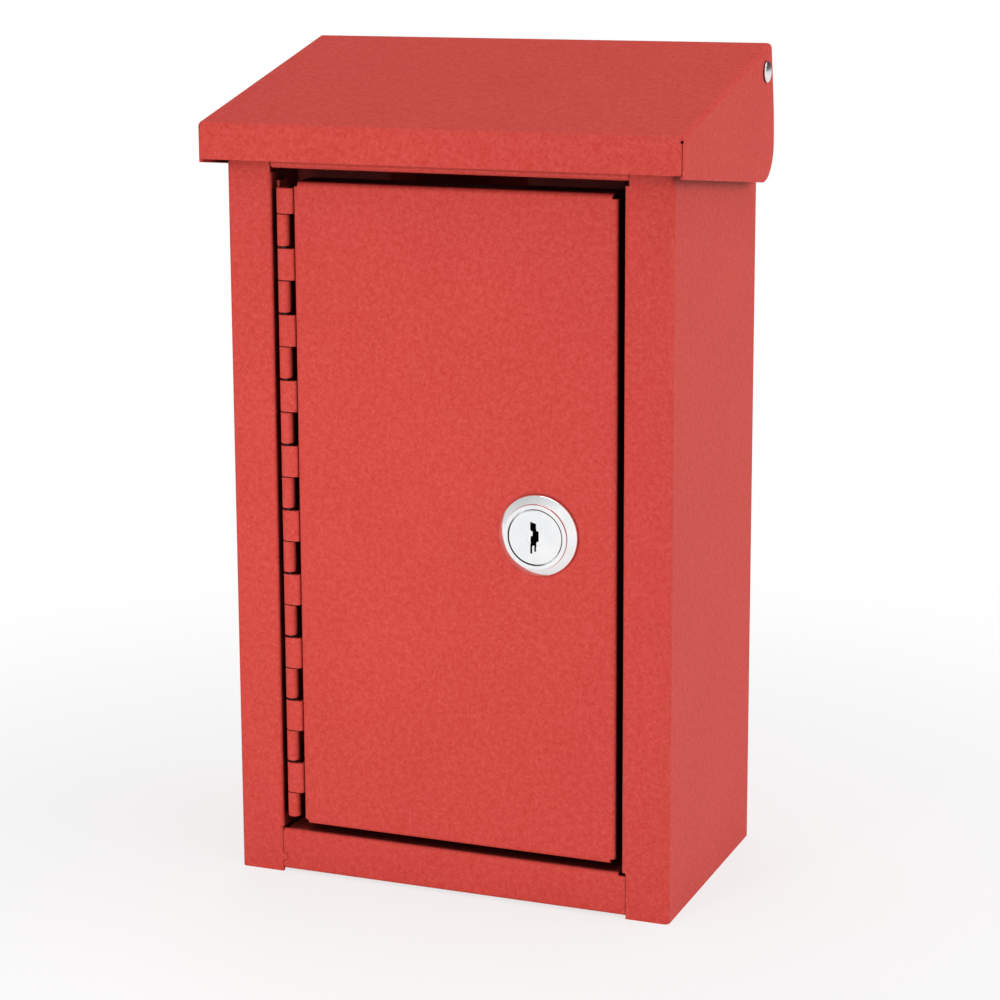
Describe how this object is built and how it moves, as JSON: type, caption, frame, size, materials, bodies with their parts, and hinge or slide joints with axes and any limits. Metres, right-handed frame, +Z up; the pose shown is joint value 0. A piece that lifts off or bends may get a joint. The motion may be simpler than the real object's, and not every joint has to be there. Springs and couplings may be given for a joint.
{
  "type": "key drop box",
  "caption": "Small wall-mounted steel key drop box with a lifting sloped hood over a drop slot, and a hinged front door with a cam lock.",
  "frame": {"origin": "under the middle of the whole box, on the plane that its lower edges stand on", "axes": "+X to the right seen from the front, +Y from the door to the wall, +Z up"},
  "size_m": [0.1606, 0.0982, 0.267],
  "materials": {
    "red_sheet": "fine-textured red powder coat on folded steel sheet",
    "red_hood": "fine-textured red powder coat on folded steel sheet",
    "red_door": "fine-textured red powder coat on folded steel sheet",
    "red_hinge": "red powder coat over rolled steel knuckles",
    "hinge_pin_steel": "drawn steel wire",
    "rivet_steel": "bright zinc-plated steel",
    "spacer_nylon": "moulded black nylon",
    "lock_chrome": "polished chrome plate over die-cast zinc",
    "wafer_brass": "stamped brass",
    "zinc_steel": "zinc-plated steel"
  },
  "bodies": {
    "box": {"body_wrap": "red_sheet", "bottom_pan": "red_sheet", "top_plate": "red_sheet", "frame_hinge_leaf": "red_hinge", "hinge_pin": "hinge_pin_steel", "lid_rivet_left": "rivet_steel", "lid_rivet_right": "rivet_steel", "lid_spacer_left": "spacer_nylon", "lid_spacer_right": "spacer_nylon", "rivet_washer_left": "rivet_steel", "rivet_washer_right": "rivet_steel"},
    "lid": {"lid_hood": "red_hood"},
    "door": {"door_panel": "red_door", "door_hinge_leaf": "red_hinge", "lock_housing": "lock_chrome", "lock_washer": "zinc_steel", "lock_nut": "zinc_steel"},
    "lock": {"lock_plug": "lock_chrome", "lock_wafers": "wafer_brass", "cam_stop_washer": "zinc_steel", "lock_cam": "zinc_steel", "cam_spring_washer": "zinc_steel", "cam_screw": "zinc_steel"}
  },
  "joints": [
    {"name": "lid_hinge", "type": "hinge", "parent": "box", "child": "lid", "pos_m": [0, 0.0381, 0.2584], "axis": [-1, 0, 0], "range_deg": [0, 100]},
    {"name": "door_hinge", "type": "hinge", "parent": "box", "child": "door", "pos_m": [-0.055, -0.0377, 0.122], "axis": [0, 0, -1], "range_deg": [0, 110]},
    {"name": "lock_turn", "type": "hinge", "parent": "door", "child": "lock", "pos_m": [0.0308, -0.0399, 0.1213], "axis": [0, -1, 0], "range_deg": [0, 90]}
  ]
}
